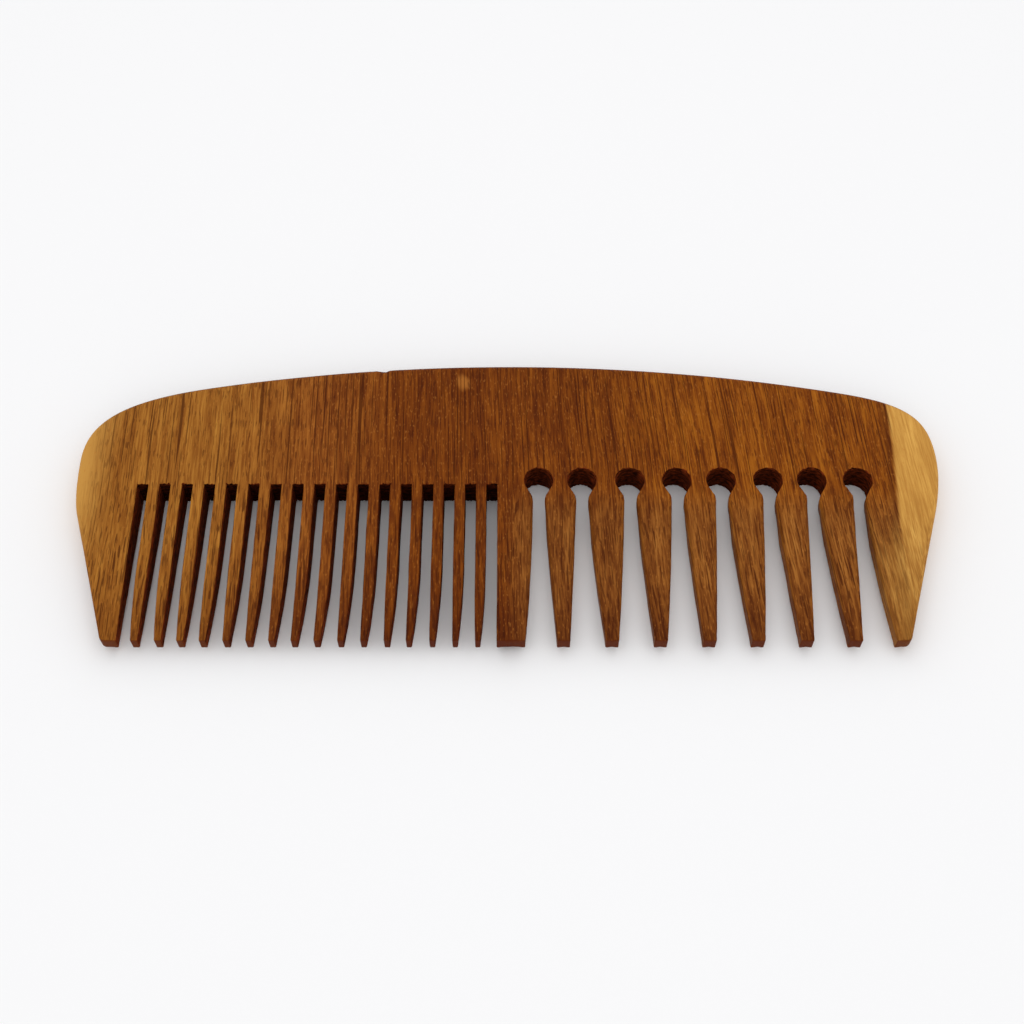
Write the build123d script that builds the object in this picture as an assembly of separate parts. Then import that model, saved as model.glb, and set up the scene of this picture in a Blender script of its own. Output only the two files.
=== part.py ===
from build123d import *
from math import pi, sin
import os

os.makedirs("parts", exist_ok=True)

# ---- driving dimensions, millimetres -------------------------------------
LENGTH = 180.0              # widest point to widest point
WIDTH = 66.5                # crown to tooth tips
THICK = 6.7                 # board at the spine
TIP_THICK = 3.1             # board at the tooth tips
TAPER_Y = 2.0               # the faces start to converge here
EDGE_ROUND = 1.3            # rounding round the outer edge

HALF_L = LENGTH / 2
CROWN_Y = WIDTH / 2
TIP_Y = -WIDTH / 2
MID_Z = THICK / 2
BEYOND = 10.0               # overrun of every cutting shape

# outline: crown arc, two shoulders, two leaning sides
CROWN_RADIUS = 362.0
LEFT_SHOULDER_X = 63.0
RIGHT_SHOULDER_X = 70.0
LEFT_PULL = 17.5
RIGHT_PULL = 15.5
SHOULDER_DROP = 11.0
SIDE_TOP_Y = 8.8
SIDE_KNEE_Y = -4.8
LEFT_KNEE_X = -88.7
RIGHT_KNEE_X = 87.7
LEFT_TIP_X = -79.8
RIGHT_TIP_X = 78.8
GUARD_TIP_ROUND = 1.4

# fine teeth: square-ended saw gaps
FINE_TEETH = 16
FINE_ROOT_Y = 2.0
FINE_FIRST_X = -75.8
FINE_LAST_X = -3.45
FINE_DRIFT = 0.55           # the hand saw wandered this far at mid-row
FINE_GAP = 2.3
FINE_TAPER_Y = -15.0
FINE_TIP_FIRST_X = -73.1
FINE_TIP_LAST_X = -6.05
FINE_TIP_FIRST_WIDTH = 1.35
FINE_TIP_LAST_WIDTH = 1.0
GUARD_WALL_LEAN = 0.3

# wide teeth: drilled root, converging shoulders, flaring slot
WIDE_TEETH = 7
HOLE_RADIUS = 3.0
HOLE_Y = 3.0
HOLE_FIRST_X = 6.25
HOLE_LAST_X = 72.5
DRILL_WANDER = (0.0, -0.5, 0.0, 0.3, 0.0, 0.3, -0.1, 0.0)
SHOULDER_HALF = 2.45
NECK_HALF = 1.2
NECK_Y = -1.0
FLARE_Y = -16.0             # the slot walls curve outwards from here
FLARE_HALF = 1.9
GUARD_FLARE_HALF = 1.35
WIDE_TIP_FIRST_X = 10.85
WIDE_TIP_LAST_X = 68.0
WIDE_TIP_WIDTH = 2.55
CENTRE_TIP_X = 3.3
RIGHT_GUARD_TIP_X = 75.95
WIDE_TOOTH_ROUND = 0.9      # the wide teeth are sanded round along their walls
WIDE_SEAM_Y = HOLE_Y + HOLE_RADIUS + 1.0

TOOTH_TIP_ROUND = 0.35


def arc_y(x):
    """Height of the crown arc at x."""
    return CROWN_Y - CROWN_RADIUS + (CROWN_RADIUS**2 - x**2) ** 0.5


def side_curves(sign, shoulder_x, reach, knee_x, tip_x):
    """Shoulder, bend and leaning side of one end of the comb."""
    slope = -shoulder_x / CROWN_RADIUS
    start = (sign * shoulder_x, arc_y(shoulder_x))
    pull = (sign * (shoulder_x + reach), start[1] + slope * reach)
    top = (sign * HALF_L, SIDE_TOP_Y)
    knee = (knee_x, SIDE_KNEE_Y)
    lean = abs(tip_x - knee_x) / (SIDE_KNEE_Y - TIP_Y)
    bend_y = SIDE_KNEE_Y + (HALF_L - abs(knee_x)) / lean
    shoulder = Bezier(start, pull, (sign * HALF_L, SIDE_TOP_Y + SHOULDER_DROP), top)
    bend = Bezier(top, (sign * HALF_L, bend_y), knee)
    side = Line(knee, (tip_x, TIP_Y))
    return [shoulder, bend, side]


def blank():
    """The whole board, rounded and tapered, before any gap is cut."""
    crown = ThreePointArc(
        (-LEFT_SHOULDER_X, arc_y(LEFT_SHOULDER_X)),
        (0, CROWN_Y),
        (RIGHT_SHOULDER_X, arc_y(RIGHT_SHOULDER_X)),
    )
    left = side_curves(-1, LEFT_SHOULDER_X, LEFT_PULL, LEFT_KNEE_X, LEFT_TIP_X)
    right = side_curves(1, RIGHT_SHOULDER_X, RIGHT_PULL, RIGHT_KNEE_X, RIGHT_TIP_X)
    foot = Line((LEFT_TIP_X, TIP_Y), (RIGHT_TIP_X, TIP_Y))
    face = make_face(Curve() + [crown, foot] + left + right)
    corners = face.vertices().filter_by_position(Axis.Y, TIP_Y - 0.1, TIP_Y + 0.1)
    face = fillet(corners, GUARD_TIP_ROUND)
    board = extrude(face, THICK)
    profile = Polyline(
        (CROWN_Y + BEYOND, 0),
        (TAPER_Y, 0),
        (TIP_Y, MID_Z - TIP_THICK / 2),
        (TIP_Y, MID_Z + TIP_THICK / 2),
        (TAPER_Y, THICK),
        (CROWN_Y + BEYOND, THICK),
        close=True,
    )
    wedge = extrude(Plane.YZ * make_face(profile), HALF_L + BEYOND, both=True)
    board = board & wedge
    rim = board.edges().filter_by(lambda edge: abs(edge.tangent_at(0.5).Z) < 0.5)
    rim = rim.filter_by(lambda edge: abs(edge.center().X) > HALF_L / 2 or edge.center().Y > TAPER_Y + 1)
    return fillet(rim, EDGE_ROUND)


def prism(plan):
    """A flat outline carried right through the board."""
    return Pos(0, 0, -BEYOND) * extrude(plan, THICK + 2 * BEYOND)


def span(x_low, x_high, y_low, y_high):
    """A box through the board between two X and two Y limits."""
    centre = ((x_low + x_high) / 2, (y_low + y_high) / 2, MID_Z)
    return Pos(*centre) * Box(x_high - x_low, y_high - y_low, THICK + 2 * BEYOND)


def fine_gap_x(index):
    """Centre line of one fine gap."""
    share = index / FINE_TEETH
    return FINE_FIRST_X + share * (FINE_LAST_X - FINE_FIRST_X) + FINE_DRIFT * sin(pi * share)


def fine_tip_edge(tooth, side):
    """One edge of a fine tooth's tip; the tips are evenly spaced and narrow towards the centre."""
    share = tooth / (FINE_TEETH - 1)
    middle = FINE_TIP_FIRST_X + share * (FINE_TIP_LAST_X - FINE_TIP_FIRST_X)
    width = FINE_TIP_FIRST_WIDTH + share * (FINE_TIP_LAST_WIDTH - FINE_TIP_FIRST_WIDTH)
    return middle + side * width / 2


def fine_gap_wall(root_x, tip_x):
    """Straight near the root, then curving away as the tooth thins to its tip."""
    start = (root_x, FINE_ROOT_Y + BEYOND)
    bend = (root_x, FINE_TAPER_Y)
    pull = (root_x, (FINE_TAPER_Y + TIP_Y) / 2)
    return [Line(start, bend), Bezier(bend, pull, (tip_x, TIP_Y)), Line((tip_x, TIP_Y), (tip_x, TIP_Y - 1))]


def guard_wall(root_x, lean):
    """The nearly straight inner wall beside an end or centre tooth."""
    return [Line((root_x, FINE_ROOT_Y + BEYOND), (root_x + lean, TIP_Y - 1))]


def fine_gap(index):
    """Plan of one fine gap, open at the tips."""
    low = fine_gap_x(index) - FINE_GAP / 2
    high = fine_gap_x(index) + FINE_GAP / 2
    if index == 0:
        left = guard_wall(low, GUARD_WALL_LEAN)
    else:
        left = fine_gap_wall(low, fine_tip_edge(index - 1, 1))
    if index == FINE_TEETH:
        right = guard_wall(high, 0)
    else:
        right = fine_gap_wall(high, fine_tip_edge(index, -1))
    top = Line(left[0] @ 0, right[0] @ 0)
    foot = Line(left[-1] @ 1, right[-1] @ 1)
    return make_face(Curve() + left + right + [top, foot])


def hole_x(index):
    """Centre of one drilled root hole."""
    pitch = (HOLE_LAST_X - HOLE_FIRST_X) / WIDE_TEETH
    return HOLE_FIRST_X + pitch * index + DRILL_WANDER[index]


def wide_tip_edge(tooth, side):
    """One edge of a wide tooth's tip; the tips are evenly spaced."""
    pitch = (WIDE_TIP_LAST_X - WIDE_TIP_FIRST_X) / (WIDE_TEETH - 1)
    return WIDE_TIP_FIRST_X + tooth * pitch + side * WIDE_TIP_WIDTH / 2


def slot_wall(index, side):
    """One wall of a wide gap: shoulder, neck, then the curve out to the tip."""
    centre = hole_x(index)
    drop = (HOLE_RADIUS**2 - SHOULDER_HALF**2) ** 0.5
    if side < 0:
        tip_x = CENTRE_TIP_X if index == 0 else wide_tip_edge(index - 1, 1)
        flare_half = GUARD_FLARE_HALF if index == 0 else FLARE_HALF
    else:
        tip_x = RIGHT_GUARD_TIP_X if index == WIDE_TEETH else wide_tip_edge(index, -1)
        flare_half = GUARD_FLARE_HALF if index == WIDE_TEETH else FLARE_HALF
    shoulder = (centre + side * SHOULDER_HALF, HOLE_Y - drop)
    neck = (centre + side * NECK_HALF, NECK_Y)
    flare = (centre + side * flare_half, FLARE_Y)
    tip = (tip_x, TIP_Y)
    return [Line(shoulder, neck), Bezier(neck, flare, tip), Line(tip, (tip_x, TIP_Y - 1))]


def keyhole(index):
    """Plan of one wide gap: drilled hole, shoulders, neck and flaring slot."""
    left = slot_wall(index, -1)
    right = slot_wall(index, 1)
    top = Line(left[0] @ 0, right[0] @ 0)
    foot = Line(left[-1] @ 1, right[-1] @ 1)
    slot = make_face(Curve() + left + right + [top, foot])
    return Pos(hole_x(index), HOLE_Y) * Circle(HOLE_RADIUS) + slot


def soften_tip(tooth):
    """Round the four edges at the end of a fine tooth."""
    tips = tooth.edges().filter_by(lambda edge: edge.center().Y < TIP_Y + 0.05)
    return tooth.fillet(TOOTH_TIP_ROUND, tips)


def soften_walls(tooth):
    """Round the long edges between a wide tooth's faces and its slot walls."""
    low = fine_gap_x(FINE_TEETH) + FINE_GAP
    high = RIGHT_GUARD_TIP_X + 1
    walls = tooth.edges().filter_by(
        lambda edge: edge.length > -TIP_Y - 4
        and low < edge.center().X < high
        and edge.center().Y < FLARE_Y + 2
        and edge.geom_type == GeomType.BSPLINE
    )
    return tooth.fillet(WIDE_TOOTH_ROUND, walls)


def write(name, solid):
    """One STEP file for one node."""
    export_step(solid, "parts/" + name + ".step")


board = blank()
step_x = fine_gap_x(FINE_TEETH) + FINE_GAP / 2
edge_x = HALF_L + BEYOND
foot_y = TIP_Y - BEYOND
top_y = CROWN_Y + BEYOND

left_top = span(-edge_x, step_x, FINE_ROOT_Y, top_y)
right_top = span(step_x, edge_x, WIDE_SEAM_Y, top_y)
write("spine", board & (left_top + right_top))

fine_half = board & span(-edge_x, step_x, foot_y, FINE_ROOT_Y)
for i in range(FINE_TEETH + 1):
    fine_half = fine_half - prism(fine_gap(i))
pieces = fine_half.solids().sort_by(Axis.X)
names = ["left_end_tooth"] + ["fine_tooth_%02d" % (i + 1) for i in range(FINE_TEETH)]
for name, piece in zip(names, pieces, strict=True):
    write(name, soften_tip(piece))

wide_half = board & span(step_x, edge_x, foot_y, WIDE_SEAM_Y)
wide_half = wide_half - prism(fine_gap(FINE_TEETH))
for i in range(WIDE_TEETH + 1):
    wide_half = wide_half - prism(keyhole(i))
cuts = [step_x] + [hole_x(i) for i in range(WIDE_TEETH + 1)] + [edge_x]
names = ["centre_tooth"] + ["wide_tooth_%02d" % (i + 1) for i in range(WIDE_TEETH)] + ["right_end_tooth"]
for name, low, high in zip(names, cuts[:-1], cuts[1:], strict=True):
    tooth = wide_half & span(low, high, foot_y, WIDE_SEAM_Y)
    write(name, soften_walls(tooth.solid()))
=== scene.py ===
"""Looks of the wide tooth comb: one worn, oiled hardwood board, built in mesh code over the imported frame."""
import math

import bpy
from bpy.props import FloatProperty, FloatVectorProperty, PointerProperty
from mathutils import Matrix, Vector, noise
from mathutils.geometry import delaunay_2d_cdt


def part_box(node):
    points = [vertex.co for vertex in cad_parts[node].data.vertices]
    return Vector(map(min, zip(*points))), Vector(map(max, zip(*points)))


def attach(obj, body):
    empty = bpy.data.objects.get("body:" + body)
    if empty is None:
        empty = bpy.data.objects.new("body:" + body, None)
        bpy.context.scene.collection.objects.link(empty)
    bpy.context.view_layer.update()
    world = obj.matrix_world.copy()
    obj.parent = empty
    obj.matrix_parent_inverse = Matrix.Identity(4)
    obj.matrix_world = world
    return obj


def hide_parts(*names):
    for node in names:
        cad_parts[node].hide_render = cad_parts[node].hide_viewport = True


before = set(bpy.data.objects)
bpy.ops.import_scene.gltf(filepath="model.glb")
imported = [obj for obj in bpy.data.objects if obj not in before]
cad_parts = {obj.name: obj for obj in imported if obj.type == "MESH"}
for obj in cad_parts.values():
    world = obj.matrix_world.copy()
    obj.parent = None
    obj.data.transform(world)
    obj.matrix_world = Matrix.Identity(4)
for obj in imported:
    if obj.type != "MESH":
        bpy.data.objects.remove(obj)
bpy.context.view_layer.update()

bl_info = {
    "name": "Wide tooth comb",
    "version": (1, 0, 0),
    "blender": (4, 5, 0),
    "location": "View3D > Sidebar > Comb",
    "description": "Builds the board, the teeth and the stage of a wooden dressing comb",
    "category": "Object",
}

MM = 0.001


# ---- sizes read from the frame -------------------------------------------

def node_box(name):
    """Lowest and highest corner of a CAD node, in millimetres."""
    low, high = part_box(name)
    return [v / MM for v in low], [v / MM for v in high]


FINE_NAMES = sorted(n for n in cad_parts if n.startswith("fine_tooth_"))
WIDE_NAMES = sorted(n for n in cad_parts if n.startswith("wide_tooth_"))
SPINE_HIGH = node_box("spine")[1]
LEFT_HIGH = node_box("left_end_tooth")[1]
RIGHT_HIGH = node_box("right_end_tooth")[1]
CENTRE_LOW, CENTRE_HIGH = node_box("centre_tooth")
FINE_BOXES = [node_box(n) for n in FINE_NAMES]

HALF_LENGTH = SPINE_HIGH[0]
CROWN_Y = SPINE_HIGH[1]
TIP_Y = CENTRE_LOW[1]
THICK = SPINE_HIGH[2]
FINE_ROOT_Y = LEFT_HIGH[1]
WIDE_SEAM_Y = RIGHT_HIGH[1]
HOLE_XS = [CENTRE_HIGH[0]] + [node_box(n)[1][0] for n in WIDE_NAMES]


# ---- what a user can change ----------------------------------------------

def size(name, default, words):
    """A length in millimetres, as the comb's maker would give it."""
    return FloatProperty(name=name, description=words, default=default, min=0.0, precision=2)


def tone(name, code, words):
    """A colour given as sRGB hex, kept as linear values."""
    return FloatVectorProperty(
        name=name, description=words, subtype="COLOR", size=3, min=0.0, max=1.0, default=linear(code)
    )


def linear(code):
    """Linear red, green and blue of an sRGB hex colour."""
    parts = [int(code[i:i + 2], 16) / 255 for i in (0, 2, 4)]
    return tuple(c / 12.92 if c <= 0.04045 else ((c + 0.055) / 1.055) ** 2.4 for c in parts)


class CombSizes(bpy.types.PropertyGroup):
    """Sizes of the sawn and sanded board, in millimetres."""

    tip_thickness: size("Tip thickness", 3.1, "Board thickness at the tooth tips")
    taper_start: size("Taper start", 2.0, "Height along the comb where the faces start to converge")
    rim_round: size("Rim rounding", 1.3, "Rounding round the outer edge of the board")
    arris: size("Tooth arris", 0.2, "Sanded edge between a face and a gap wall")
    tip_arris: size("Tip arris", 0.36, "Worn edge at the end of each tooth")
    wide_tip_arris: size("Wide tip arris", 0.45, "Worn edge at the end of each wide tooth")
    chip: size("Saw chips", 0.5, "Reach of the torn fibres at the end of each fine gap and round each hole")
    hole_radius: size("Hole radius", 3.0, "Radius of the drilled root of each wide gap")
    hole_rise: size("Hole height", 3.0, "Height along the comb of the drilled holes' centres")
    fine_tip: size("First fine tip", 1.35, "Width of the outermost fine tooth at its tip")
    fine_tip_last: size("Last fine tip", 1.0, "Width of the innermost fine tooth at its tip")
    wide_tip: size("Wide tip", 2.55, "Width of a wide tooth at its tip")
    whittle: size("Wide tooth rounding", 1.35, "Rounding along the walls of a wide tooth, below its neck")
    whittle_under: size("Rounding underneath", 2.0, "Rounding of the same walls at the underside")
    wobble: size("Hand wobble", 0.06, "How far a hand-sawn wall wanders from straight")


class CombWood(bpy.types.PropertyGroup):
    """Colours of the oiled wood."""

    gold: tone("Golden heartwood", "925A1E", "Lighter heartwood at the fine-toothed end")
    amber: tone("Amber heartwood", "824614", "Heartwood between the golden and the brown")
    brown: tone("Brown heartwood", "6C3306", "Darkest heartwood, in the middle of the board")
    russet: tone("Russet heartwood", "82440A", "Heartwood under the wide teeth")
    handled: tone("Handled teeth", "7F4A1B", "Duller brown of the handled wide teeth")
    sap: tone("Sapwood", "C28D42", "Pale sapwood along both ends")
    pore: tone("Open pores", "3C1303", "Oil-darkened open pores")
    fleck: tone("Flecks", "B5722F", "Small light flecks of cut ray cells")
    sawn: tone("Sawn walls", "55200A", "Oil-soaked saw cuts and drilled holes")


class CombStage(bpy.types.PropertyGroup):
    """Floor, light and camera."""

    floor: tone("Floor", "F4F4F5", "Plain pale floor")
    sky: FloatProperty(name="Sky", description="Strength of the light from all round", default=0.96, min=0.0)
    lamp: FloatProperty(
        name="Lamp", description="Power of the overhead softbox", default=0.35, min=0.0, unit="POWER"
    )
    lens: FloatProperty(name="Lens", description="Focal length", default=49.7, min=1.0, unit="CAMERA")
    pitch: FloatProperty(
        name="Elevation", description="Height of the camera's view", default=math.radians(58), subtype="ANGLE"
    )
    reach: FloatProperty(
        name="Distance", description="Camera to the middle of the view", default=0.2971, unit="LENGTH"
    )


# ---- the board's outline --------------------------------------------------

CROWN_RADIUS = 362.0
SHOULDER_DROP = 11.0
SIDE_TOP_Y = 8.8
SIDE_KNEE_Y = -4.8
# shoulder start, shoulder pull, knee and tip of each end
LEFT_SIDE = (63.0, 17.5, -88.7, -79.8)
RIGHT_SIDE = (70.0, 15.5, 87.7, 78.8)
SHOULDER_HALF = 2.45
NECK_HALF = 1.2
NECK_Y = -1.0
NECK_TURN = 2.8
FLARE_Y = -16.0
FLARE_HALF = 1.9
GUARD_FLARE_HALF = 1.35
FINE_TAPER_Y = -15.0
FINE_TIP_XS = (-73.1, -6.05)
WIDE_TIP_XS = (10.85, 68.0)
CENTRE_TIP_X = 3.3
RIGHT_GUARD_TIP_X = 75.95
# the left end tooth's sawn wall leans this far from its root to its tip
LEFT_WALL_LEAN = 0.3
# fine tips stray this far from even spacing
TIP_STRAY = 0.25
# turning radii of the outline's corners
GUARD_TIP_TURN = 1.4
FINE_TIP_TURN = 0.3
WIDE_TIP_TURN = 0.25
ROOT_TURN = 0.12
# a small knock in the crown: place, depth and half width
NICK_X = -27.2
NICK_DEEP = 0.5
NICK_HALF = 0.8
# how finely the curves are drawn
CROWN_POINTS = 70
SHOULDER_POINTS = 40
BEND_POINTS = 14
FINE_BEND_POINTS = 10
HOLE_POINTS = 18
CORNER_POINTS = 4
POINT_SPACING = {"rim": 1.2, "wall": 0.7, "whittled": 0.6, "tip": 0.25, "gap_end": 0.16, "hole": 0.3}
# outline points nearer than this to a seam are dropped
SEAM_CLEAR = 0.25


def rough(x, y, seed, span):
    """Smooth repeatable unevenness between -1 and 1 with features about span across."""
    return noise.noise(Vector((x / span + seed * 7.31, y / span - seed * 3.17, seed * 1.73)))


def arc_y(x):
    """Height of the crown arc at x."""
    return CROWN_Y - CROWN_RADIUS + math.sqrt(CROWN_RADIUS ** 2 - x ** 2)


def bezier(points, steps):
    """Points along a quadratic or cubic curve, without its first point."""
    result = []
    for k in range(1, steps + 1):
        t = k / steps
        row = [Vector(p) for p in points]
        while len(row) > 1:
            row = [a.lerp(b, t) for a, b in zip(row, row[1:])]
        result.append(tuple(row[0]))
    return result


class Outline:
    """The closed plan outline, walked with the wood on the left hand."""

    def __init__(self):
        self.corners = []

    def go(self, points, owner, kind, turn=0.0):
        """Walk to each point; the last one may be a rounded corner."""
        for i, point in enumerate(points):
            radius = turn if i == len(points) - 1 else 0.0
            self.corners.append({"at": Vector(point), "turn": radius, "owner": owner, "kind": kind})

    def trace(self):
        """Round the corners and divide the runs: points, each with the owner and kind of the run up to it."""
        corners = self.corners
        eased = []
        for i, corner in enumerate(corners):
            after = corners[(i + 1) % len(corners)]
            if not corner["turn"]:
                eased.append((corner["at"], corner["owner"], corner["kind"]))
                continue
            back = (corners[i - 1]["at"] - corner["at"]).normalized()
            ahead = (after["at"] - corner["at"]).normalized()
            half = back.angle(ahead) / 2
            cut = corner["turn"] / math.tan(half)
            start = corner["at"] + back * cut
            end = corner["at"] + ahead * cut
            eased.append((start, corner["owner"], corner["kind"]))
            for k in range(1, CORNER_POINTS + 1):
                t = k / CORNER_POINTS
                point = start.lerp(corner["at"], t).lerp(corner["at"].lerp(end, t), t)
                first = k <= CORNER_POINTS / 2
                eased.append((
                    point,
                    corner["owner"] if first else after["owner"],
                    corner["kind"] if first else after["kind"],
                ))
        result = []
        for i, (point, owner, kind) in enumerate(eased):
            before = eased[i - 1][0]
            count = max(1, round((point - before).length / POINT_SPACING[kind]))
            for k in range(1, count + 1):
                result.append((before.lerp(point, k / count), owner, kind))
        return result


def outer_side(side, sign):
    """Shoulder, bend and straight side from the crown down to the tip."""
    shoulder_x, reach, knee_x, tip_x = side
    start = (sign * shoulder_x, arc_y(shoulder_x))
    pull = (sign * (shoulder_x + reach), start[1] - reach * shoulder_x / CROWN_RADIUS)
    edge = sign * HALF_LENGTH
    lean = abs(tip_x - knee_x) / (SIDE_KNEE_Y - TIP_Y)
    bend_y = SIDE_KNEE_Y + (HALF_LENGTH - abs(knee_x)) / lean
    shoulder = bezier([start, pull, (edge, SIDE_TOP_Y + SHOULDER_DROP), (edge, SIDE_TOP_Y)], SHOULDER_POINTS)
    bend = bezier([(edge, SIDE_TOP_Y), (edge, bend_y), (knee_x, SIDE_KNEE_Y)], BEND_POINTS)
    return [start] + shoulder + bend + [(tip_x, TIP_Y)]


def split_at(points, y):
    """Two runs of points that share a new point at height y."""
    for i in range(1, len(points)):
        a, b = points[i - 1], points[i]
        if (a[1] - y) * (b[1] - y) < 0:
            t = (y - a[1]) / (b[1] - a[1])
            middle = (a[0] + (b[0] - a[0]) * t, y)
            upper = [p for p in points[:i] if math.dist(p, middle) > SEAM_CLEAR]
            lower = [p for p in points[i:] if math.dist(p, middle) > SEAM_CLEAR]
            return upper + [middle], lower
    raise ValueError("the outline never reaches height %s" % y)


def fine_wall(x_root, x_tip):
    """A fine tooth's wall from root to tip: straight, then curving in."""
    bend = (x_root, FINE_TAPER_Y)
    pull = (x_root, (FINE_TAPER_Y + TIP_Y) / 2)
    return [(x_root, FINE_ROOT_Y), bend] + bezier([bend, pull, (x_tip, TIP_Y)], FINE_BEND_POINTS)


def tip_middle(index, count, ends):
    """Centre of one of several evenly spaced tips."""
    return ends[0] + (ends[1] - ends[0]) * index / (count - 1)


def slot_wall(index, side, sizes):
    """One wall of a wide gap, from the top of its drilled root down to the tip."""
    centre = HOLE_XS[index]
    radius = sizes.hole_radius
    drop = math.sqrt(radius ** 2 - SHOULDER_HALF ** 2)
    low = math.atan2(-drop, SHOULDER_HALF)
    points = []
    for k in range(1, HOLE_POINTS + 1):
        angle = math.pi / 2 + (low - math.pi / 2) * k / HOLE_POINTS
        points.append((centre + side * radius * math.cos(angle), sizes.hole_rise + radius * math.sin(angle)))
    guarded = (index == 0 and side < 0) or (index == len(HOLE_XS) - 1 and side > 0)
    if guarded:
        tip_x = CENTRE_TIP_X if side < 0 else RIGHT_GUARD_TIP_X
    else:
        tooth = index - 1 if side < 0 else index
        tip_x = tip_middle(tooth, len(WIDE_NAMES), WIDE_TIP_XS) - side * sizes.wide_tip / 2
    neck = (centre + side * NECK_HALF, NECK_Y)
    flare = (centre + side * (GUARD_FLARE_HALF if guarded else FLARE_HALF), FLARE_Y)
    return points + [neck] + bezier([neck, flare, (tip_x, TIP_Y)], BEND_POINTS)


def board_outline(sizes):
    """The whole plan outline as one closed loop."""
    path = Outline()
    upper, lower = split_at(outer_side(LEFT_SIDE, -1), FINE_ROOT_Y)
    path.go(upper, "spine", "rim")
    path.go(lower, "left_end_tooth", "rim", GUARD_TIP_TURN)
    root_x = LEFT_HIGH[0] - LEFT_WALL_LEAN
    path.go([(LEFT_HIGH[0], TIP_Y)], "left_end_tooth", "tip", FINE_TIP_TURN)
    path.go([(root_x, FINE_ROOT_Y)], "left_end_tooth", "wall", ROOT_TURN)
    last = len(FINE_NAMES) - 1
    for i, name in enumerate(FINE_NAMES):
        low, high = FINE_BOXES[i]
        middle = tip_middle(i, last + 1, FINE_TIP_XS) + TIP_STRAY * rough(i, 0, 3, 0.37)
        half = (sizes.fine_tip + (sizes.fine_tip_last - sizes.fine_tip) * i / last) / 2
        down = fine_wall(low[0], middle - half)
        up = fine_wall(high[0], middle + half)[::-1]
        path.go(down[:1], "spine", "gap_end", ROOT_TURN)
        path.go(down[1:], name, "wall", FINE_TIP_TURN)
        path.go(up[:1], name, "tip", FINE_TIP_TURN)
        path.go(up[1:], name, "wall", ROOT_TURN)
    path.go([(CENTRE_LOW[0], FINE_ROOT_Y)], "spine", "gap_end", ROOT_TURN)
    path.go([(CENTRE_LOW[0], TIP_Y)], "centre_tooth", "wall", WIDE_TIP_TURN)
    owners = ["centre_tooth"] + WIDE_NAMES + ["right_end_tooth"]
    for i, (left, right) in enumerate(zip(owners, owners[1:])):
        up = slot_wall(i, -1, sizes)[::-1]
        down = slot_wall(i, 1, sizes)
        crest = (HOLE_XS[i], sizes.hole_rise + sizes.hole_radius)
        path.go(up[:1], left, "tip", WIDE_TIP_TURN)
        path.go(up[1:-HOLE_POINTS], left, "whittled", NECK_TURN)
        path.go(up[-HOLE_POINTS:] + [crest], left, "hole")
        path.go(down[:HOLE_POINTS + 1], right, "hole", NECK_TURN)
        path.go(down[HOLE_POINTS + 1:], right, "whittled", WIDE_TIP_TURN)
    upper, lower = split_at(outer_side(RIGHT_SIDE, 1), WIDE_SEAM_Y)
    path.go([(RIGHT_SIDE[3], TIP_Y)], "right_end_tooth", "tip", GUARD_TIP_TURN)
    climb = (upper + lower)[::-1]
    turn = climb.index(upper[-1])
    path.go(climb[1:turn + 1], "right_end_tooth", "rim")
    path.go(climb[turn + 1:], "spine", "rim")
    right_x, left_x = RIGHT_SIDE[0], -LEFT_SIDE[0]
    crown = [right_x + (left_x - right_x) * k / CROWN_POINTS for k in range(1, CROWN_POINTS)]
    path.go([(x, arc_y(x)) for x in crown], "spine", "rim")
    return path.trace()


# ---- the shell: rings round the outline, closed by flat fills ---------------

ROUND_STEPS = 5
WALL_STEPS = 3
# the ring at which the raw saw cut starts to show; other edges are sanded right round
SAWN_FROM = {"wall": ROUND_STEPS, "gap_end": 2, "hole": 2}
# outline points averaged to smooth the rounding, and the sharpest mitre at a corner
NEIGHBOURS = (-2, -1, 0, 1, 2)
MITRE = 0.7
# an edge wanders less where its corner leaves no more room than this
TIGHT = 0.3
# a flat strip inside each rounded edge, as a share of its radius, keeps the shading of the faces flat
FLAT_MARGIN = 0.25
# torn fibres at a saw cut or a drilled hole run deeper than they are wide
CHIP_STEEP = 1.7
# holes are torn from this far below their centres upwards
TORN_BELOW = 1.5
# the rounding under each neck reaches most of the way up the wall, and fades over this height
UNDERCUT = 1.8
UNDERCUT_FADE = 9.0
# the faces ease into their taper over this height
TAPER_EASE = 2.5
# how much a sanded face and a sanded rim wander
SANDED_WAVE = 0.02
# smallest rounding of a cut edge, of a whittled edge and of the rim at the tips
CUT_ROUND = 0.12
WHITTLE_LEAST = 0.3
RIM_TIP_ROUND = 0.45
# the rim's rounding is full from this far above the tips
RIM_FADE = 22.0
# an inset takes this share of the turning radius at an outer corner, and eases off at this slope beside it
ROOM_SHARE = 0.85
ROOM_SLOPE = 0.5
ROOM_OPEN = 9.0
STRAIGHT = 0.03
# the grid inside the faces: its spacing, its first row, and its distance from crown, ends, holes and seams
GRID = 2.4
GRID_START = 1.3
CROWN_CLEAR = 2.8
END_CLEAR = 4.2
HOLE_CLEAR = 1.5
JOIN_CLEAR = 1.0
SHOULDER_X = 84.0


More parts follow.
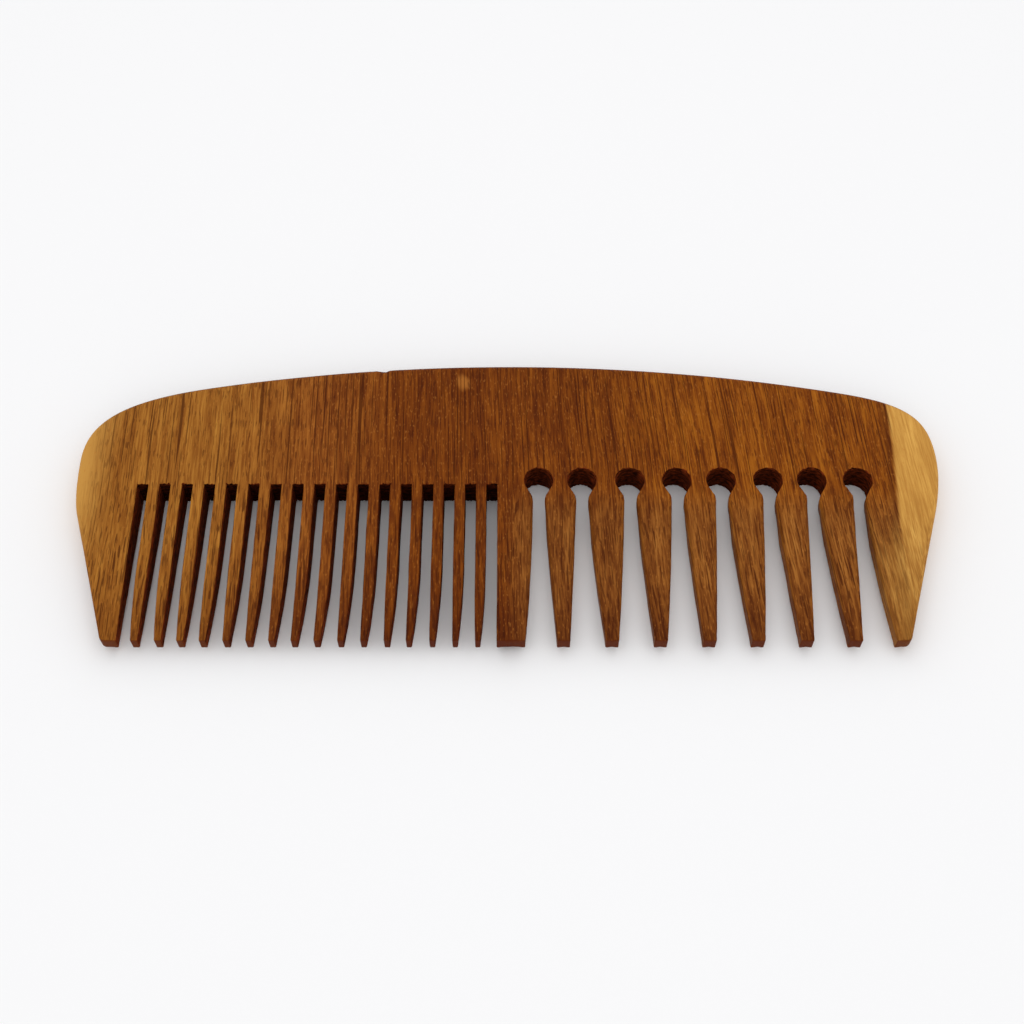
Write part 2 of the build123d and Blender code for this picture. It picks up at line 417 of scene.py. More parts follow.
class Shell:
    """The whole board as one skin, with every face named for the piece that it belongs to."""

    def __init__(self, sizes):
        self.sizes = sizes
        self.verts = []
        self.faces = []
        self.loop = board_outline(sizes)
        self.seam_marks = {}
        self.make_columns()
        self.fill(0)
        self.fill(1)
        self.make_caps()
        self.make_normals()

    def half_thick(self, y):
        """Half the board's thickness at height y, easing into the taper."""
        sizes = self.sizes
        span = sizes.taper_start - TIP_Y
        full = THICK / 2
        drop = full - sizes.tip_thickness / 2
        reach = (sizes.taper_start + 1.0 - y) / TAPER_EASE
        soft = TAPER_EASE * (math.log1p(math.exp(-abs(reach))) + max(reach, 0.0))
        return full - drop * soft / (span + 1.0)

    def surface(self, x, y, face):
        """Height of the sanded face, 0 for the top and 1 for the underside."""
        wave = SANDED_WAVE * (1 + rough(x, y, 5 + face, 16.0))
        half = self.half_thick(y) - wave
        return THICK / 2 + (half if face == 0 else -half)

    def arris(self, i, face):
        """Rounding radius of the edge at one outline point."""
        sizes = self.sizes
        point, _, kind = self.loop[i]
        if kind == "rim":
            fade = min(1.0, max(0.0, (point.y - TIP_Y) / RIM_FADE))
            return RIM_TIP_ROUND + (sizes.rim_round - RIM_TIP_ROUND) * fade
        if kind == "tip":
            worn = sizes.wide_tip_arris if point.x > CENTRE_LOW[0] else sizes.tip_arris
            return worn * (1 + 0.4 * rough(point.x, 0, 8 + face, 0.8))
        if kind == "whittled":
            fade = (point.y - TIP_Y) / (NECK_Y - TIP_Y)
            widest = sizes.whittle if face == 0 else sizes.whittle_under
            full = WHITTLE_LEAST + (widest - WHITTLE_LEAST) * min(1.0, fade * 1.5)
            start = min(1.0, max(0.2, (NECK_Y - point.y + 0.3) / 1.2)) if face == 0 else 1.0
            return full * start * (1 + 0.12 * rough(point.x, point.y, 26 + face, 4.0))
        if kind == "gap_end":
            return CUT_ROUND + sizes.chip * max(0.0, 1.8 * rough(point.x, face, 11, 0.5) + 0.25)
        if kind == "hole":
            torn = max(0.0, 1.5 * rough(point.x, point.y, 14 + face, 0.45) + 0.3)
            high = max(0.0, (point.y - sizes.hole_rise) / sizes.hole_radius)
            under = max(0.0, (NECK_Y + 2.5 - point.y) / 2.5) if face == 1 else 0.0
            return CUT_ROUND + sizes.chip * torn * high + (sizes.whittle_under - CUT_ROUND) * min(1.0, under)
        return sizes.arris * (1 + 0.4 * rough(point.x, point.y, 17 + face, 2.5))

    def room(self, points):
        """How far each outline point can move inward without crossing its neighbours at an outer corner."""
        count = len(points)
        free = []
        for i in range(count):
            a = points[i] - points[i - 1]
            b = points[(i + 1) % count] - points[i]
            turn = math.atan2(a.cross(b), a.dot(b))
            free.append(ROOM_SHARE * (a.length + b.length) / 2 / turn if turn > STRAIGHT else ROOM_OPEN)
        free = [min(free[(i + k) % count] for k in NEIGHBOURS) for i in range(count)]
        for step in (1, -1):
            for k in range(0, 2 * count * step, step):
                here, back = k % count, (k - step) % count
                free[here] = min(free[here], free[back] + ROOM_SLOPE * (points[here] - points[back]).length)
        return free

    def make_columns(self):
        """One column of points at every outline point, from the top fill round to the bottom fill."""
        count = len(self.loop)
        points = [p for p, _, _ in self.loop]
        free = self.room(points)
        inward = []
        for i in range(count):
            a = (points[i] - points[i - 1]).normalized()
            b = (points[(i + 1) % count] - points[i]).normalized()
            mean = (a + b).normalized()
            spread = 1 / max(MITRE, mean.dot(a))
            inward.append(Vector((-mean.y, mean.x)) * spread)
        radii = []
        for face in (0, 1):
            raw = [self.arris(i, face) for i in range(count)]
            torn = [self.loop[i][2] in ("gap_end", "hole") for i in range(count)]
            soft = [sum(raw[(i + k) % count] for k in NEIGHBOURS) / len(NEIGHBOURS) for i in range(count)]
            wanted = [raw[i] if torn[i] else soft[i] for i in range(count)]
            radii.append([min(wanted[i], free[i] / (1 + FLAT_MARGIN)) for i in range(count)])
        self.columns = []
        for i in range(count):
            point, _, kind = self.loop[i]
            wander = 0.0
            if kind in ("wall", "whittled"):
                wander = self.sizes.wobble * rough(point.x, point.y, 21, 5.0)
            if kind in ("rim", "tip"):
                on_crown = point.y > WIDE_SEAM_Y
                nick = NICK_DEEP * math.exp(-((point.x - NICK_X) / NICK_HALF) ** 2) if on_crown else 0.0
                wander = SANDED_WAVE * (1 + rough(point.x, point.y, 23, 9.0)) + nick
            wander *= min(1.0, max(0.0, free[i] - TIGHT))
            sides = []
            torn = kind in ("gap_end", "hole") and point.y > self.sizes.hole_rise - TORN_BELOW
            kept = kind == "rim" or point.x < CENTRE_LOW[0] or torn
            cut_back = 0.0 if kept else max(0.0, 1 - abs(NECK_Y - point.y) / UNDERCUT_FADE)
            for face, steep in ((0, CHIP_STEEP if torn else 1.0), (1, 1.0 + UNDERCUT * cut_back)):
                side = []
                for inset, sink in self.profile(radii[face][i]):
                    at = point + inward[i] * (inset + wander)
                    z = self.surface(at.x, at.y, face) + (2 * face - 1) * sink * steep
                    side.append(Vector((at.x, at.y, z)))
                sides.append(side)
            top, bottom = sides
            middle = [top[-1].lerp(bottom[-1], k / WALL_STEPS) for k in range(1, WALL_STEPS)]
            whole = top + middle + bottom[::-1]
            start = len(self.verts)
            self.verts.extend(whole)
            self.columns.append(range(start, start + len(whole)))
        for i in range(count):
            here, back = self.columns[i], self.columns[i - 1]
            _, owner, kind = self.loop[i]
            last = len(here) - 1
            edge = SAWN_FROM.get(kind, last)
            for k in range(last):
                sawn = edge <= k < last - edge
                finish = "sawn" if sawn else "sanded"
                self.faces.append(((back[k], back[k + 1], here[k + 1], here[k]), owner, finish))

    def profile(self, radius):
        """Inset and depth of the rounded edge, from the flat face to the wall."""
        flat = [(radius * (1 + FLAT_MARGIN), 0.0)]
        for k in range(ROUND_STEPS + 1):
            angle = math.pi / 2 * (1 - k / ROUND_STEPS)
            flat.append((radius * (1 - math.cos(angle)), radius * (1 - math.sin(angle))))
        return flat

    def seams(self):
        """The lines where one piece meets the next: outline indices or plan points, two by two."""
        count = len(self.loop)
        turns = [i for i in range(count) if self.loop[i][1] != self.loop[(i + 1) % count][1]]
        pairs = {}
        for i in turns:
            pairs.setdefault((self.loop[i][1], self.loop[(i + 1) % count][1]), []).append(i)
        lines = []
        for name in ["left_end_tooth"] + FINE_NAMES:
            lines.append((pairs[("spine", name)][0], pairs[(name, "spine")][0], name, "spine"))
        owners = ["centre_tooth"] + WIDE_NAMES + ["right_end_tooth"]
        corner = (CENTRE_LOW[0], WIDE_SEAM_Y)
        lines.append((pairs[("spine", "centre_tooth")][0], corner, "centre_tooth", "spine"))
        before = corner
        for x, left, right in zip(HOLE_XS, owners, owners[1:]):
            here = (x, WIDE_SEAM_Y)
            lines.append((before, here, left, "spine"))
            lines.append((pairs[(left, right)][0], here, right, left))
            before = here
        lines.append((before, pairs[("right_end_tooth", "spine")][0], "right_end_tooth", "spine"))
        return lines

    def inner_points(self):
        """A loose grid on the broad part of the board, clear of its edges, holes and seams."""
        clear_of_hole = self.sizes.hole_radius + HOLE_CLEAR
        for row in range(int((CROWN_Y - FINE_ROOT_Y) / GRID)):
            y = FINE_ROOT_Y + GRID_START + row * GRID
            for k in range(int(2 * HALF_LENGTH / GRID)):
                x = -HALF_LENGTH + (k + 0.5 * (row % 2)) * GRID
                under_crown = y < arc_y(min(abs(x), SHOULDER_X)) - CROWN_CLEAR
                off_end = abs(x) < HALF_LENGTH - END_CLEAR
                off_hole = min(math.hypot(x - h, y - self.sizes.hole_rise) for h in HOLE_XS) > clear_of_hole
                off_seam = x < CENTRE_LOW[0] - JOIN_CLEAR or abs(y - WIDE_SEAM_Y) > JOIN_CLEAR
                if under_crown and off_end and off_hole and off_seam:
                    yield (x, y)

    def fill(self, face):
        """Close one face of every piece inside the innermost ring."""
        ring = [column[0] if face == 0 else column[-1] for column in self.columns]
        marks = self.seam_marks[face] = {}
        steps = {}
        for i, (_, owner, _) in enumerate(self.loop):
            steps.setdefault(owner, {})[ring[i - 1]] = ring[i]
        for start, end, one, other in self.seams():
            ends = []
            for mark in (start, end):
                if not isinstance(mark, int) and mark not in marks:
                    marks[mark] = len(self.verts)
                    self.verts.append(Vector((*mark, self.surface(*mark, face))))
                ends.append(ring[mark] if isinstance(mark, int) else marks[mark])
            steps[one][ends[1]] = ends[0]
            steps[other][ends[0]] = ends[1]
        grid = list(self.inner_points())
        for owner, following in steps.items():
            border = [next(iter(following))]
            while following[border[-1]] != border[0]:
                border.append(following[border[-1]])
            flat = [self.verts[v].xy for v in border]
            low_x, high_x = min(p.x for p in flat), max(p.x for p in flat)
            flat += [Vector(p) for p in grid if low_x < p[0] < high_x]
            out, _, triangles, sources, _, _ = delaunay_2d_cdt(flat, [], [range(len(border))], 1, 1e-6)
            numbers = []
            for at, origins in zip(out, sources):
                if origins and origins[0] < len(border):
                    numbers.append(border[origins[0]])
                else:
                    numbers.append(len(self.verts))
                    self.verts.append(Vector((at.x, at.y, self.surface(at.x, at.y, face))))
            for triangle in triangles:
                corners = tuple(numbers[v] for v in triangle)
                a, b, c = (self.verts[v].xy for v in corners)
                upward = (b - a).cross(c - a) > 0
                self.faces.append((corners if upward == (face == 0) else corners[::-1], owner, "sanded"))

    def make_normals(self):
        """Smooth normals of the whole skin, so that the pieces shade as one board."""
        mesh = bpy.data.meshes.new("whole_skin")
        mesh.from_pydata(self.verts, [], [corners for corners, _, _ in self.faces])
        mesh.update()
        self.normals = [n.vector.copy() for n in mesh.vertex_normals]
        bpy.data.meshes.remove(mesh)

    def make_caps(self):
        """Triangles that close each piece at its neighbours, fanned from the middle of each seam."""
        top, bottom = self.seam_marks[0], self.seam_marks[1]
        self.caps = []
        for start, end, one, other in self.seams():
            ring = list(self.columns[start]) if isinstance(start, int) else [top[start], bottom[start]]
            ring += list(self.columns[end])[::-1] if isinstance(end, int) else [bottom[end], top[end]]
            heart = len(self.verts)
            self.verts.append(sum((self.verts[v] for v in ring), Vector()) / len(ring))
            for a, b in zip(ring, ring[1:] + ring[:1]):
                self.caps.append(((heart, a, b), one))
                self.caps.append(((heart, b, a), other))

    def piece(self, name, materials):
        """One closed mesh object for one named piece, in metres."""
        own = [(corners, kind) for corners, owner, kind in self.faces if owner == name]
        used = {}
        faces = []
        kinds = []
        for corners, kind in own:
            faces.append([used.setdefault(v, len(used)) for v in corners])
            kinds.append(kind)
        skin = len(faces)
        for corners in [corners for corners, owner in self.caps if owner == name]:
            faces.append([used.setdefault(v, len(used)) for v in corners])
            kinds.append("sawn")
        order = sorted(used, key=used.get)
        mesh = bpy.data.meshes.new(name + "_wood")
        mesh.from_pydata([self.verts[v] * MM for v in order], [], faces)
        for material in materials:
            mesh.materials.append(material)
        corner_normals = []
        for polygon in mesh.polygons:
            on_skin = polygon.index < skin
            polygon.use_smooth = on_skin
            polygon.material_index = 1 if kinds[polygon.index] == "sawn" else 0
            for v in polygon.vertices:
                corner_normals.append(self.normals[order[v]] if on_skin else polygon.normal.copy())
        mesh.normals_split_custom_set(corner_normals)
        piece = bpy.data.objects.new(name + "_wood", mesh)
        bpy.context.scene.collection.objects.link(piece)
        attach(piece, "root")
        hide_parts(name)
        return piece


MADE = {}


def shell():
    """The skin, made once and shared by the operators."""
    if "shell" not in MADE:
        MADE["shell"] = Shell(bpy.context.scene.comb_sizes)
    return MADE["shell"]


# ---- materials --------------------------------------------------------------

def node(tree, kind, links, out=0, **settings):
    """Add a shader node with its settings, fill its inputs with sockets or values, and give one output."""
    made = tree.nodes.new("ShaderNode" + kind)
    for key, value in settings.items():
        setattr(made, key, value)
    for key, value in links.items():
        if isinstance(value, bpy.types.NodeSocket):
            tree.links.new(value, made.inputs[key])
        else:
            made.inputs[key].default_value = value
    return made.outputs[out]


# a MapRange reads the range 1 to 2 and gives the range 3 to 4; a colour Mix takes 6 and 7, and gives 2
EASED = {"interpolation_type": "SMOOTHSTEP"}
ADD = {"operation": "ADD"}
TIMES = {"operation": "MULTIPLY"}
TIMES_ADD = {"operation": "MULTIPLY_ADD"}
SCALE = {"operation": "SCALE"}
COLOURS = {"data_type": "RGBA"}

# streaks drawn out along the grain: length and width in millimetres, and detail;
# real fibres are some 0.02 mm wide, so they are drawn 0.3 mm wide to show
GRAIN = {
    "bands": (70.0, 3.4, 2.0),
    "figure": (11.0, 3.0, 2.0),
    "ribbons": (24.0, 0.85, 1.0),
    "fibres": (7.0, 0.32, 2.0),
    "flecks": (0.9, 0.24, 0.0),
    "dashes": (2.6, 0.24, 0.0),
    "splits": (30.0, 0.3, 0.0),
    "waver": (30.0, 6.0, 1.0),
}
# each layer is read this much further on in the noise, so that no two are alike
LAYERS_APART = (4.7, 7.3, 5.9)
# how far each layer darkens and lightens the wood
TONES = (("bands", 0.88, 1.12), ("figure", 0.87, 1.13), ("ribbons", 0.82, 1.18), ("fibres", 0.56, 1.44))
# heartwood colours along the board: share of its length, and colour
HEARTWOOD = (
    (0.0, "gold"),
    (0.16, "gold"),
    (0.27, "amber"),
    (0.37, "brown"),
    (0.53, "brown"),
    (0.73, "russet"),
    (1.0, "russet"),
)
# darker wood is also redder: red, green and blue follow the light and dark by these powers
DARK_REDDENS = (0.78, 1.1, 1.45)
PIN_KNOT = (-9.6, 28.4, 0.0)


def grain_layers(tree, in_mm, x, along_y, depth):
    """The streaks of GRAIN, running along the fine teeth and leaning over a little beside the wide ones."""
    lean = node(tree, "MapRange", {0: x, 1: -8.0, 2: 48.0, 3: 0.02, 4: 0.08}, **EASED)
    slow = node(tree, "TexNoise", {"Vector": in_mm, "Scale": 0.025, "Detail": 1.0})
    bowed = node(tree, "Math", {0: slow, 1: 1.5, 2: x}, **TIMES_ADD)
    grain_x = node(tree, "Math", {0: lean, 1: along_y, 2: bowed}, **TIMES_ADD)
    grain_place = node(tree, "CombineXYZ", {0: grain_x, 1: along_y, 2: depth})
    grain = {}
    for number, (layer, (length, width, detail)) in enumerate(GRAIN.items(), 1):
        drawn_out = (1 / width, 1 / length, 1 / width)
        apart = tuple(number * step for step in LAYERS_APART)
        place = node(tree, "VectorMath", {0: grain_place, 1: drawn_out, 2: apart}, **TIMES_ADD)
        streaks = {"Vector": place, "Scale": 1.0, "Detail": detail, "Roughness": 0.55}
        grain[layer] = node(tree, "TexNoise", streaks)
    return grain


def sapwood_masks(tree, x, along_y, grain):
    """Where the sapwood lies, at the wide end and along the fine end's rim, and the dark line before it."""
    waver = node(tree, "Math", {0: grain["waver"], 1: 2.0, 2: -1.0}, **TIMES_ADD)
    line = node(tree, "Math", {0: along_y, 1: -0.032, 2: -80.2}, **TIMES_ADD)
    from_line = node(tree, "Math", {0: x, 1: line}, **ADD)
    beyond = node(tree, "Math", {0: from_line, 1: waver}, **ADD)
    sap_edge = node(tree, "MapRange", {0: beyond, 1: -0.3, 2: 0.8}, **EASED)
    sap_fade = node(tree, "MapRange", {0: along_y, 1: -26.0, 2: 2.0, 3: 0.45, 4: 1.0}, **EASED)
    sap_right = node(tree, "Math", {0: sap_edge, 1: sap_fade}, **TIMES)
    rim_place = node(tree, "Math", {0: x, 1: waver}, **ADD)
    sap_rim = node(tree, "MapRange", {0: rim_place, 1: -81.0, 2: -90.0}, **EASED)
    rim_fade = node(tree, "MapRange", {0: along_y, 1: -24.0, 2: 0.0}, **EASED)
    sap_left = node(tree, "Math", {0: sap_rim, 1: rim_fade}, **TIMES)
    sap_sides = node(tree, "Math", {0: sap_right, 1: sap_left}, operation="MAXIMUM")
    bleed_in = node(tree, "MapRange", {0: beyond, 1: -9.0, 2: 0.5, 3: 0.0, 4: 0.6}, **EASED)
    bleed_down = node(tree, "MapRange", {0: along_y, 1: -4.0, 2: -16.0}, **EASED)
    bleed = node(tree, "Math", {0: bleed_in, 1: bleed_down}, **TIMES)
    sapwood = node(tree, "Math", {0: sap_sides, 1: bleed}, operation="MAXIMUM")
    line_rise = node(tree, "MapRange", {0: beyond, 1: -2.6, 2: -0.6}, **EASED)
    line_fall = node(tree, "MapRange", {0: beyond, 1: -0.4, 2: 0.4, 3: 0.45, 4: 0.0}, **EASED)
    dark_line = node(tree, "Math", {0: line_rise, 1: line_fall}, **TIMES)
    return sapwood, dark_line


def board_colour(tree, wood, x, along_y, sapwood, dark_line):
    """Heartwood from end to end, duller on the handled wide teeth, with the dark line and the sapwood."""
    end_to_end = node(tree, "MapRange", {0: x, 1: -HALF_LENGTH, 2: HALF_LENGTH})
    colour = node(tree, "ValToRGB", {0: end_to_end})
    stops = colour.node.color_ramp.elements
    while len(stops) < len(HEARTWOOD):
        stops.new(0.5)
    for stop, (share, shade) in zip(stops, HEARTWOOD):
        stop.position = share
        stop.color = (*getattr(wood, shade), 1.0)
    on_wide_half = node(tree, "MapRange", {0: x, 1: -2.0, 2: 4.0, 3: 0.0, 4: 0.8}, **EASED)
    below_holes = node(tree, "MapRange", {0: along_y, 1: 3.0, 2: -7.0}, **EASED)
    handled = node(tree, "Math", {0: on_wide_half, 1: below_holes}, **TIMES)
    colour = node(tree, "Mix", {0: handled, 6: colour, 7: (*wood.handled, 1.0)}, 2, **COLOURS)
    colour = node(tree, "Mix", {0: dark_line, 6: colour, 7: (*wood.pore, 1.0)}, 2, **COLOURS)
    return node(tree, "Mix", {0: sapwood, 6: colour, 7: (*wood.sap, 1.0)}, 2, **COLOURS)


def figured(tree, wood, colour, in_mm, x, along_y, sapwood, grain):
    """The colour with its light and dark figure, quieter in the sapwood and darker at the soaked tips."""
    tones = node(tree, "MapRange", {0: along_y, 1: -33.0, 2: -17.0, 3: 0.5, 4: 1.0}, **EASED)
    for layer, dark, light in TONES:
        share = node(tree, "MapRange", {0: grain[layer], 1: 0.3, 2: 0.7, 3: dark, 4: light}, **EASED)
        tones = node(tree, "Math", {0: tones, 1: share}, **TIMES)
    calm = node(tree, "MapRange", {0: x, 1: -85.0, 2: -25.0, 3: 0.4, 4: 0.0}, **EASED)
    quiet = node(tree, "Math", {0: sapwood, 1: 0.62, 2: calm}, **TIMES_ADD)
    tones = node(tree, "Mix", {0: quiet, 2: tones, 3: 1.0})

    # one pale pin knot near the crown, in a darker patch
    from_knot = node(tree, "VectorMath", {0: in_mm, 1: PIN_KNOT}, operation="SUBTRACT")
    squashed = node(tree, "VectorMath", {0: from_knot, 1: (1.0, 0.66, 0.0)}, **TIMES)
    away = node(tree, "VectorMath", {0: squashed}, "Value", operation="LENGTH")
    ragged = node(tree, "Math", {0: grain["figure"], 1: 2.6, 2: away}, **TIMES_ADD)
    knot_shade = node(tree, "MapRange", {0: ragged, 1: 2.9, 2: 9.0, 3: 0.74, 4: 1.0}, **EASED)
    tones = node(tree, "Math", {0: tones, 1: knot_shade}, **TIMES)
    channels = [node(tree, "Math", {0: tones, 1: power}, operation="POWER") for power in DARK_REDDENS]
    by_channel = node(tree, "CombineXYZ", dict(enumerate(channels)))
    colour = node(tree, "VectorMath", {0: colour, 1: by_channel}, **TIMES)
    knot = node(tree, "MapRange", {0: ragged, 1: 3.2, 2: 2.1, 3: 0.0, 4: 0.6}, **EASED)
    colour = node(tree, "Mix", {0: knot, 6: colour, 7: (*wood.fleck, 1.0)}, 2, **COLOURS)

    # a dark bruise round the nick in the crown, and small light flecks
    nick = (NICK_X, arc_y(NICK_X), THICK)
    from_nick = node(tree, "VectorMath", {0: in_mm, 1: nick}, "Value", operation="DISTANCE")
    bruise = node(tree, "MapRange", {0: from_nick, 1: 1.6, 2: 0.7, 3: 0.0, 4: 0.8}, **EASED)
    colour = node(tree, "Mix", {0: bruise, 6: colour, 7: (*wood.pore, 1.0)}, 2, **COLOURS)
    flecks = node(tree, "MapRange", {0: grain["flecks"], 1: 0.66, 2: 0.78, 3: 0.0, 4: 0.3}, **EASED)
    return node(tree, "Mix", {0: flecks, 6: colour, 7: (*wood.fleck, 1.0)}, 2, **COLOURS)


def open_pores(tree, sapwood, grain):
    """Short dark dashes, crowded in the darker bands, with a few long splits; none in the sapwood."""
    crowding = node(tree, "MapRange", {0: grain["bands"], 1: 0.35, 2: 0.65, 3: 0.07, 4: 0.0}, **EASED)
    crowded = node(tree, "Math", {0: grain["dashes"], 1: crowding}, **ADD)
    dashes = node(tree, "MapRange", {0: crowded, 1: 0.67, 2: 0.72, 3: 0.0, 4: 0.6}, **EASED)
    splits = node(tree, "MapRange", {0: grain["splits"], 1: 0.675, 2: 0.7, 3: 0.0, 4: 0.85}, **EASED)
    pores = node(tree, "Math", {0: dashes, 1: splits}, operation="MAXIMUM")
    heart = node(tree, "MapRange", {0: sapwood, 3: 0.8, 4: 0.0})
    return node(tree, "Math", {0: pores, 1: heart}, **TIMES)


def oiled_wood(name, wood, cut):
    """Open-pored hardwood, sawn, sanded and rubbed with oil.

    The sanded faces show golden to brown heartwood with long dark pores and a low sheen;
    a saw-cut wall drinks more oil, so it is nearly black, rough and scored along the cut.
    """
    material = bpy.data.materials.new(name)
    material.use_nodes = True
    tree = material.node_tree
    shader = tree.nodes["Principled BSDF"]
    in_mm = node(tree, "VectorMath", {0: node(tree, "TexCoord", {}, "Object"), "Scale": 1 / MM}, **SCALE)
    x, along_y, depth = node(tree, "SeparateXYZ", {0: in_mm}).node.outputs
    grain = grain_layers(tree, in_mm, x, along_y, depth)

    # end grain drinks more oil: the tips, the crown's edge and, most of all, the ends of the saw cuts
    facing = node(tree, "SeparateXYZ", {0: node(tree, "NewGeometry", {}, "Normal")}, 1)
    end_grain = node(tree, "Math", {0: facing}, operation="ABSOLUTE")
    height = node(tree, "Math", {0: grain["fibres"], 1: 0.5}, **TIMES)
    if cut:
        flattened = node(tree, "VectorMath", {0: in_mm, 1: (0.7, 0.7, 3.6)}, **TIMES)
        scores = node(tree, "TexNoise", {"Vector": flattened, "Scale": 1.0, "Detail": 2.0})
        scored = node(tree, "MapRange", {0: scores, 1: 0.35, 2: 0.68, 3: 1.8, 4: 0.3}, **EASED)
        deepest = node(tree, "MapRange", {0: x, 1: -2.5, 2: 0.5, 3: 0.3, 4: 0.55})
        soaked = node(tree, "MapRange", {0: end_grain, 1: 0.5, 2: 0.9, 3: 1.0, 4: deepest}, **EASED)
        wall_tone = node(tree, "Math", {0: scored, 1: soaked}, **TIMES)
        streaked = node(tree, "MapRange", {0: grain["ribbons"], 1: 0.3, 2: 0.7, 3: 0.6, 4: 1.4}, **EASED)
        wall_tone = node(tree, "Math", {0: wall_tone, 1: streaked}, **TIMES)
        colour = node(tree, "VectorMath", {0: wood.sawn, "Scale": wall_tone}, **SCALE)
        height = node(tree, "Math", {0: scores, 1: 1.5, 2: height}, **TIMES_ADD)
        shader.inputs["Roughness"].default_value = 0.85
        shader.inputs["Specular IOR Level"].default_value = 0.02
    else:
        sapwood, dark_line = sapwood_masks(tree, x, along_y, grain)
        colour = board_colour(tree, wood, x, along_y, sapwood, dark_line)
        colour = figured(tree, wood, colour, in_mm, x, along_y, sapwood, grain)
        pores = open_pores(tree, sapwood, grain)
        colour = node(tree, "Mix", {0: pores, 6: colour, 7: (*wood.pore, 1.0)}, 2, **COLOURS)
        soaked = node(tree, "MapRange", {0: end_grain, 1: 0.35, 2: 0.9, 3: 0.0, 4: 0.8}, **EASED)
        colour = node(tree, "Mix", {0: soaked, 6: colour, 7: (*wood.sawn, 1.0)}, 2, **COLOURS)
        height = node(tree, "Math", {0: pores, 1: -1.0, 2: height}, **TIMES_ADD)
        sheen = node(tree, "MapRange", {0: grain["fibres"], 1: 0.3, 2: 0.7, 3: 0.46, 4: 0.6}, **EASED)
        dulled = node(tree, "Math", {0: pores, 1: 0.25, 2: sheen}, **TIMES_ADD)
        tree.links.new(dulled, shader.inputs["Roughness"])
        shader.inputs["Specular IOR Level"].default_value = 0.05
    bump = node(tree, "Bump", {"Height": height, "Strength": 0.6, "Distance": 0.06 * MM})
    tree.links.new(bump, shader.inputs["Normal"])
    tree.links.new(colour, shader.inputs["Base Color"])
    shader.inputs["IOR"].default_value = 1.48
    return material


def comb_materials():
    """The two finishes of the one board: sanded faces and saw-cut walls."""
    if "materials" not in MADE:
        wood = bpy.context.scene.comb_wood
        MADE["materials"] = (
            oiled_wood("hardwood_sanded_oiled", wood, False),
            oiled_wood("hardwood_sawn_oiled", wood, True),
        )
    return MADE["materials"]


def matt_floor(colour):
    """White laminate board, matt: an even pale ground with no reflection."""
    material = bpy.data.materials.new("laminate_matt_white")
    material.use_nodes = True
    tree = material.node_tree
    shader = tree.nodes["Principled BSDF"]
    shader.inputs["Base Color"].default_value = (*colour, 1.0)
    shader.inputs["Roughness"].default_value = 0.9
    shader.inputs["Specular IOR Level"].default_value = 0.1
    return material


# ---- operators ----------------------------------------------------------------

class CombPieces:
    """Shared work of the operators that build wooden pieces."""

    bl_options = {"REGISTER", "UNDO"}
    pieces = ()

    def execute(self, context):
        for name in self.pieces:
            shell().piece(name, comb_materials())
        return {"FINISHED"}


class COMB_OT_spine(CombPieces, bpy.types.Operator):
    """Build the arched spine that carries the teeth"""

    bl_idname = "comb.spine"
    bl_label = "Spine"
    pieces = ("spine",)


class COMB_OT_fine_teeth(CombPieces, bpy.types.Operator):
    """Build the row of fine teeth"""

    bl_idname = "comb.fine_teeth"
    bl_label = "Fine teeth"
    pieces = tuple(FINE_NAMES)


class COMB_OT_wide_teeth(CombPieces, bpy.types.Operator):
    """Build the row of wide teeth with drilled roots"""

    bl_idname = "comb.wide_teeth"
    bl_label = "Wide teeth"
    pieces = tuple(WIDE_NAMES)


class COMB_OT_guard_teeth(CombPieces, bpy.types.Operator):
    """Build the two end teeth and the broad centre tooth"""

    bl_idname = "comb.guard_teeth"
    bl_label = "End and centre teeth"
    pieces = ("left_end_tooth", "centre_tooth", "right_end_tooth")


class COMB_OT_stage(bpy.types.Operator):
    """Lay the floor, hang the lights and place the camera"""

    bl_idname = "comb.stage"
    bl_label = "Stage"

    def execute(self, context):
        stage = context.scene.comb_stage
        lay_floor(stage)
        hang_lights(stage)
        place_camera(stage)
        return {"FINISHED"}


# metres from the middle to the edge of the floor, and the softbox's size and height
FLOOR_REACH = 3.0
LAMP_SIZE = 0.6
LAMP_PLACE = (0.0, 0.0, 0.5)
# middle of the view, in millimetres
AIM = (0.72, -0.62, 0.0)


def lay_floor(stage):
    """A wide flat floor under the comb."""
    sides = ((-1, -1), (1, -1), (1, 1), (-1, 1))
    corners = [(FLOOR_REACH * x, FLOOR_REACH * y, 0) for x, y in sides]
    mesh = bpy.data.meshes.new("floor")
    mesh.from_pydata(corners, [], [(0, 1, 2, 3)])
    mesh.materials.append(matt_floor(stage.floor))
    floor = bpy.data.objects.new("floor", mesh)
    bpy.context.scene.collection.objects.link(floor)


def hang_lights(stage):
    """Bright even light from all round, with a faint softbox straight overhead."""
    world = bpy.data.worlds.new("even_studio")
    world.use_nodes = True
    sky = world.node_tree.nodes["Background"]
    sky.inputs["Color"].default_value = (1.0, 1.0, 1.0, 1.0)
    sky.inputs["Strength"].default_value = stage.sky
    bpy.context.scene.world = world
    lamp = bpy.data.lights.new("softbox", "AREA")
    lamp.shape = "SQUARE"
    lamp.size = LAMP_SIZE
    lamp.energy = stage.lamp
    holder = bpy.data.objects.new("softbox", lamp)
    holder.location = LAMP_PLACE
    bpy.context.scene.collection.objects.link(holder)


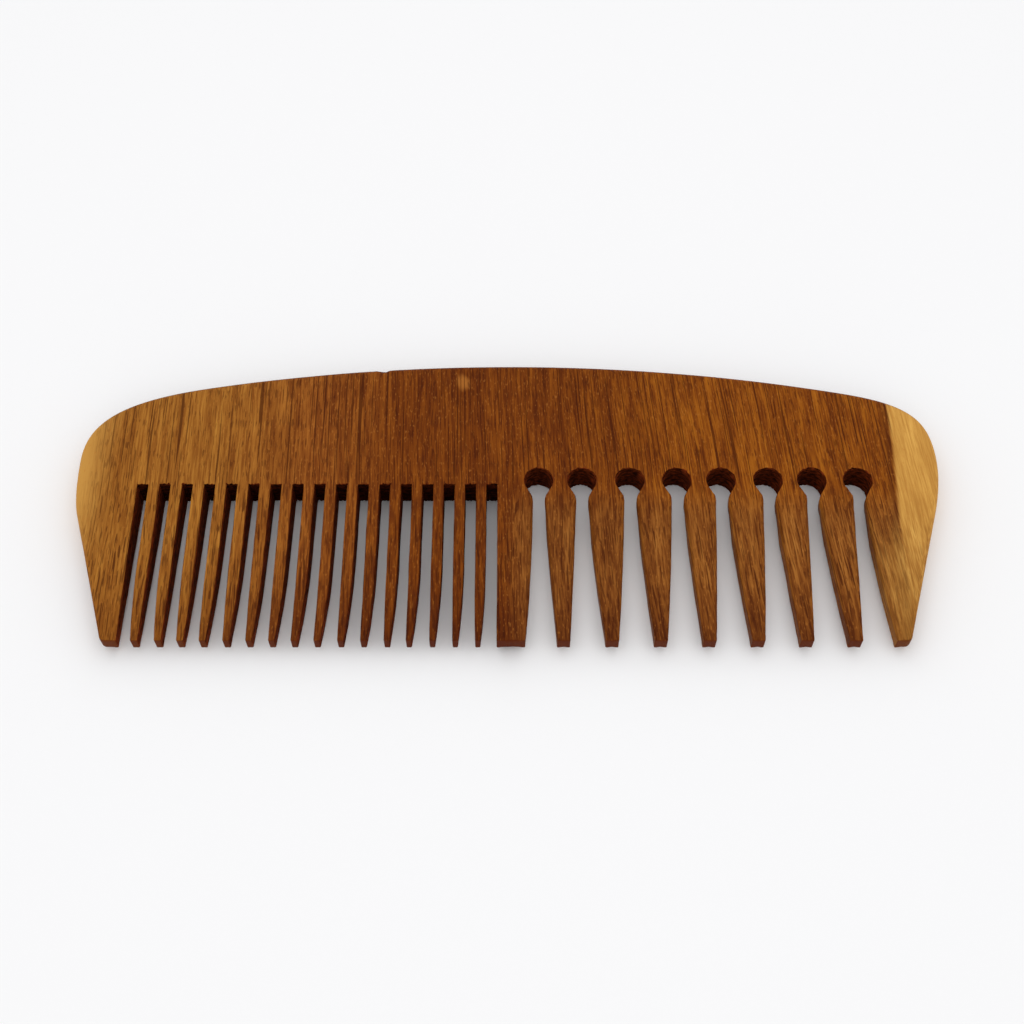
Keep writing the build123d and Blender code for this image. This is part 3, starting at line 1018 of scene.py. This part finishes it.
def place_camera(stage):
    """The camera, looking down on the comb from the side of the teeth."""
    lens = bpy.data.cameras.new("view")
    lens.lens = stage.lens
    lens.sensor_width = 36.0
    lens.clip_start = 0.01
    camera = bpy.data.objects.new("view", lens)
    aim = Vector(AIM) * MM
    camera.location = aim + stage.reach * Vector((0.0, -math.cos(stage.pitch), math.sin(stage.pitch)))
    camera.rotation_euler = (math.pi / 2 - stage.pitch, 0.0, 0.0)
    bpy.context.scene.collection.objects.link(camera)
    bpy.context.scene.camera = camera
    bpy.context.scene.view_settings.view_transform = "Standard"


class COMB_PT_panel(bpy.types.Panel):
    """Buttons and settings of the comb"""

    bl_idname = "COMB_PT_panel"
    bl_label = "Wide tooth comb"
    bl_space_type = "VIEW_3D"
    bl_region_type = "UI"
    bl_category = "Comb"

    def draw(self, context):
        column = self.layout.column()
        for operator in OPERATORS:
            column.operator(operator.bl_idname)
        scene = context.scene
        for group in (scene.comb_sizes, scene.comb_wood, scene.comb_stage):
            box = self.layout.box()
            for key in group.__annotations__:
                box.prop(group, key)


GROUPS = {"comb_sizes": CombSizes, "comb_wood": CombWood, "comb_stage": CombStage}
OPERATORS = (COMB_OT_spine, COMB_OT_fine_teeth, COMB_OT_wide_teeth, COMB_OT_guard_teeth, COMB_OT_stage)


def register():
    """Register every class and hang the settings on the scene."""
    for cls in (*GROUPS.values(), *OPERATORS, COMB_PT_panel):
        bpy.utils.register_class(cls)
    for key, cls in GROUPS.items():
        setattr(bpy.types.Scene, key, PointerProperty(type=cls))


def unregister():
    """Take everything away again."""
    for key in GROUPS:
        delattr(bpy.types.Scene, key)
    for cls in (COMB_PT_panel, *reversed(OPERATORS), *reversed(tuple(GROUPS.values()))):
        bpy.utils.unregister_class(cls)


def main():
    """Build the comb and its stage."""
    register()
    bpy.ops.comb.spine()
    bpy.ops.comb.fine_teeth()
    bpy.ops.comb.wide_teeth()
    bpy.ops.comb.guard_teeth()
    bpy.ops.comb.stage()


if __name__ == "__main__":
    main()
